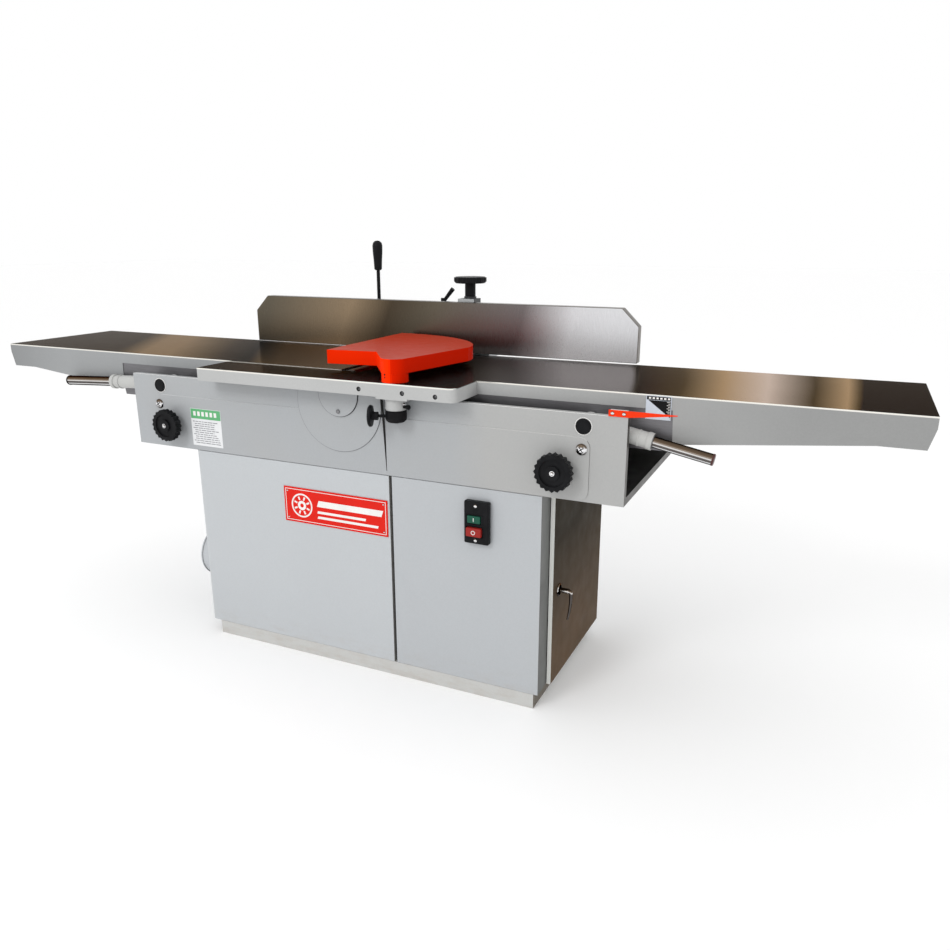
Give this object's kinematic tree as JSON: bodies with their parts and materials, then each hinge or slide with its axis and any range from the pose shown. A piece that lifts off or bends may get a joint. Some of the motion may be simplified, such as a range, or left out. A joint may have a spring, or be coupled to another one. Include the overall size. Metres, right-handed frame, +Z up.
{
  "type": "jointer",
  "caption": "Long-bed parallelogram jointer: steel cabinet stand, cast bed, lever-set infeed and outfeed tables, tilting fence, swinging cutter guard and spinning cutterhead.",
  "frame": {"origin": "centre of the footprint of the whole machine, on the floor", "axes": "+X toward the infeed end, +Y toward the back of the machine, +Z up"},
  "size_m": [2.68, 0.8772, 1.1555],
  "materials": {
    "plinth_frame": "satin paint",
    "cabinet_shell": "satin paint",
    "front_panel_left": "satin paint",
    "front_panel_right": "satin paint",
    "end_door": "satin paint",
    "door_hinge": "ground steel",
    "door_latch_handle": "polished",
    "latch_cam": "ground steel",
    "dust_port": "satin paint",
    "dust_chute": "ground steel",
    "motor_body": "satin paint",
    "motor_mount": "satin paint",
    "motor_shaft": "ground steel",
    "motor_pulley": "as cast",
    "cutter_pulley": "as cast",
    "drive_belt": "matt rubber",
    "belt_guard": "satin paint",
    "cutterhead": "ground steel",
    "bearing_block_front": "as cast",
    "bearing_block_rear": "as cast",
    "bed_casting": "satin paint",
    "bearing_cover": "satin paint",
    "bearing_cover_screw": "polished",
    "shaft_cap_infeed": "moulded satin",
    "shaft_cap_outfeed": "moulded satin",
    "stop_screw_infeed": "polished",
    "stop_screw_outfeed": "polished",
    "lock_knob_infeed": "moulded satin",
    "lock_knob_outfeed": "moulded satin",
    "infeed_table": "satin paint",
    "outfeed_table": "satin paint",
    "infeed_shaft_outer": "ground steel",
    "infeed_shaft_inner": "ground steel",
    "outfeed_shaft_outer": "ground steel",
    "outfeed_shaft_inner": "ground steel",
    "infeed_lever_socket": "as cast",
    "outfeed_lever_socket": "as cast",
    "infeed_lever_bar": "polished",
    "outfeed_lever_bar": "polished",
    "scale_plate": "satin paint",
    "scale_pointer": "satin paint",
    "guard_plate": "satin paint",
    "guard_post": "ground steel",
    "guard_collar": "satin paint",
    "guard_lock_knob": "moulded satin",
    "fence_way": "satin paint",
    "fence_carriage": "satin paint",
    "tilt_stop": "as cast",
    "fence_plate": "ground steel",
    "fence_hinge_pin": "ground steel",
    "fence_bracket": "satin paint",
    "tilt_lock_knob": "moulded satin",
    "tilt_clamp_lever": "satin paint",
    "carriage_lock_lever": "satin paint",
    "carriage_lock_grip": "moulded satin",
    "switch_box": "moulded satin",
    "start_button": "moulded gloss",
    "stop_button": "moulded gloss",
    "name_plate": "satin paint"
  },
  "bodies": {
    "base": {"plinth_frame": "plinth_frame", "cabinet_shell": "cabinet_shell", "front_panel_left": "front_panel_left", "front_panel_right": "front_panel_right", "door_hinge": "door_hinge", "dust_port": "dust_port", "dust_chute": "dust_chute", "motor_body": "motor_body", "motor_mount": "motor_mount", "drive_belt": "drive_belt", "belt_guard": "belt_guard", "bearing_block_front": "bearing_block_front", "bearing_block_rear": "bearing_block_rear", "bed_casting": "bed_casting", "bearing_cover": "bearing_cover", "bearing_cover_screw": "bearing_cover_screw", "shaft_cap_infeed": "shaft_cap_infeed", "shaft_cap_outfeed": "shaft_cap_outfeed", "stop_screw_infeed": "stop_screw_infeed", "stop_screw_outfeed": "stop_screw_outfeed", "scale_pointer": "scale_pointer", "fence_way": "fence_way", "switch_box": "switch_box", "name_plate": "name_plate"},
    "door": {"end_door": "end_door"},
    "door_latch": {"door_latch_handle": "door_latch_handle", "latch_cam": "latch_cam"},
    "motor_rotor": {"motor_shaft": "motor_shaft", "motor_pulley": "motor_pulley"},
    "cutter_rotor": {"cutterhead": "cutterhead", "cutter_pulley": "cutter_pulley"},
    "infeed": {"infeed_table": "infeed_table", "scale_plate": "scale_plate"},
    "outfeed": {"outfeed_table": "outfeed_table"},
    "infeed_lever": {"infeed_shaft_outer": "infeed_shaft_outer", "infeed_lever_socket": "infeed_lever_socket", "infeed_lever_bar": "infeed_lever_bar"},
    "infeed_inner": {"infeed_shaft_inner": "infeed_shaft_inner"},
    "outfeed_lever": {"outfeed_shaft_outer": "outfeed_shaft_outer", "outfeed_lever_socket": "outfeed_lever_socket", "outfeed_lever_bar": "outfeed_lever_bar"},
    "outfeed_inner": {"outfeed_shaft_inner": "outfeed_shaft_inner"},
    "infeed_lock": {"lock_knob_infeed": "lock_knob_infeed"},
    "outfeed_lock": {"lock_knob_outfeed": "lock_knob_outfeed"},
    "guard_carrier": {"guard_post": "guard_post", "guard_collar": "guard_collar"},
    "guard_knob": {"guard_lock_knob": "guard_lock_knob"},
    "guard": {"guard_plate": "guard_plate"},
    "carriage": {"fence_carriage": "fence_carriage", "tilt_stop": "tilt_stop", "fence_hinge_pin": "fence_hinge_pin"},
    "fence": {"fence_plate": "fence_plate", "fence_bracket": "fence_bracket"},
    "carriage_lock": {"carriage_lock_lever": "carriage_lock_lever", "carriage_lock_grip": "carriage_lock_grip"},
    "tilt_knob": {"tilt_lock_knob": "tilt_lock_knob"},
    "tilt_clamp": {"tilt_clamp_lever": "tilt_clamp_lever"},
    "start": {"start_button": "start_button"},
    "stop": {"stop_button": "stop_button"}
  },
  "joints": [
    {"name": "infeed_height", "type": "slide", "parent": "base", "child": "infeed", "axis": [0.6, 0, -0.8], "range_m": [-0.0031, 0.0069]},
    {"name": "infeed_lever_turn", "type": "hinge", "parent": "base", "child": "infeed_lever", "pos_m": [0.636, -0.3209, 0.757], "axis": [0, 1, 0], "range_deg": [-18.02, 8.12]},
    {"name": "infeed_shaft_turn", "type": "hinge", "parent": "base", "child": "infeed_inner", "pos_m": [0.2, -0.3209, 0.748], "axis": [0, 1, 0], "range_deg": [-18.02, 8.12]},
    {"name": "outfeed_height", "type": "slide", "parent": "base", "child": "outfeed", "axis": [-0.6, 0, -0.8], "range_m": [-0.0019, 0.00625]},
    {"name": "outfeed_lever_turn", "type": "hinge", "parent": "base", "child": "outfeed_lever", "pos_m": [-0.636, -0.3209, 0.757], "axis": [0, 1, 0], "range_deg": [-5, 16.33]},
    {"name": "outfeed_shaft_turn", "type": "hinge", "parent": "base", "child": "outfeed_inner", "pos_m": [-0.244, -0.3209, 0.748], "axis": [0, 1, 0], "range_deg": [-5, 16.33]},
    {"name": "infeed_lock_turn", "type": "hinge", "parent": "base", "child": "infeed_lock", "pos_m": [0.579, -0.3914, 0.65], "axis": [0, 1, 0], "range_deg": [-180, 180]},
    {"name": "outfeed_lock_turn", "type": "hinge", "parent": "base", "child": "outfeed_lock", "pos_m": [-0.592, -0.3914, 0.65], "axis": [0, 1, 0], "range_deg": [-180, 180]},
    {"name": "cutter_spin", "type": "hinge", "parent": "base", "child": "cutter_rotor", "pos_m": [-0.022, -0.0924, 0.7832], "axis": [0, 1, 0], "continuous": true},
    {"name": "motor_spin", "type": "hinge", "parent": "base", "child": "motor_rotor", "pos_m": [0.3, 0.1236, 0.2], "axis": [0, 1, 0], "continuous": true},
    {"name": "fence_slide", "type": "slide", "parent": "base", "child": "carriage", "axis": [0, -1, 0], "range_m": [0, 0.23]},
    {"name": "fence_tilt", "type": "hinge", "parent": "carriage", "child": "fence", "pos_m": [0, 0.1391, 0.8442], "axis": [-1, 0, 0], "range_deg": [0, 45]},
    {"name": "carriage_lock_turn", "type": "hinge", "parent": "carriage", "child": "carriage_lock", "pos_m": [-0.291, 0.2986, 0.884], "axis": [-1, 0, 0], "range_deg": [0, 45]},
    {"name": "tilt_knob_turn", "type": "hinge", "parent": "fence", "child": "tilt_knob", "pos_m": [0.107, 0.1686, 1], "axis": [0, 0, 1], "range_deg": [-180, 180]},
    {"name": "tilt_clamp_turn", "type": "hinge", "parent": "fence", "child": "tilt_clamp", "pos_m": [0.017, 0.1686, 0.98], "axis": [0, 0, 1], "range_deg": [-60, 60]},
    {"name": "guard_follow", "type": "hinge", "parent": "infeed", "child": "guard_carrier", "pos_m": [0.1645, -0.3904, 0.745], "axis": [0, 0, 1], "range_deg": [-0.1, 53]},
    {"name": "guard_swing", "type": "hinge", "parent": "guard_carrier", "child": "guard", "pos_m": [0.1645, -0.3904, 0.86], "axis": [0, 0, 1], "range_deg": [0, 75], "stiffness_Nm_per_rad": 1.5},
    {"name": "guard_knob_turn", "type": "hinge", "parent": "guard_carrier", "child": "guard_knob", "pos_m": [0.11752, -0.4075, 0.7435], "axis": [0.9397, 0.342, 0], "range_deg": [-180, 180]},
    {"name": "door_swing", "type": "hinge", "parent": "base", "child": "door", "pos_m": [0.5455, 0.1321, 0.3065], "axis": [0, 0, 1], "range_deg": [0, 110]},
    {"name": "latch_turn", "type": "hinge", "parent": "door", "child": "door_latch", "pos_m": [0.556, -0.2514, 0.293], "axis": [1, 0, 0], "range_deg": [0, 90]},
    {"name": "start_press", "type": "slide", "parent": "base", "child": "start", "axis": [0, 1, 0], "range_m": [0, 0.003], "stiffness_N_per_m": 400},
    {"name": "stop_press", "type": "slide", "parent": "base", "child": "stop", "axis": [0, 1, 0], "range_m": [0, 0.003], "stiffness_N_per_m": 400}
  ],
  "couplings": [
    {"joint": "infeed_lever_turn", "follows": "infeed_height", "rad_per_m": -45.45},
    {"joint": "infeed_shaft_turn", "follows": "infeed_height", "rad_per_m": -45.45},
    {"joint": "outfeed_lever_turn", "follows": "outfeed_height", "rad_per_m": 45.45},
    {"joint": "outfeed_shaft_turn", "follows": "outfeed_height", "rad_per_m": 45.45},
    {"joint": "motor_spin", "follows": "cutter_spin", "ratio": 0.72727},
    {"joint": "guard_follow", "follows": "fence_slide", "rad_per_m": 4}
  ]
}
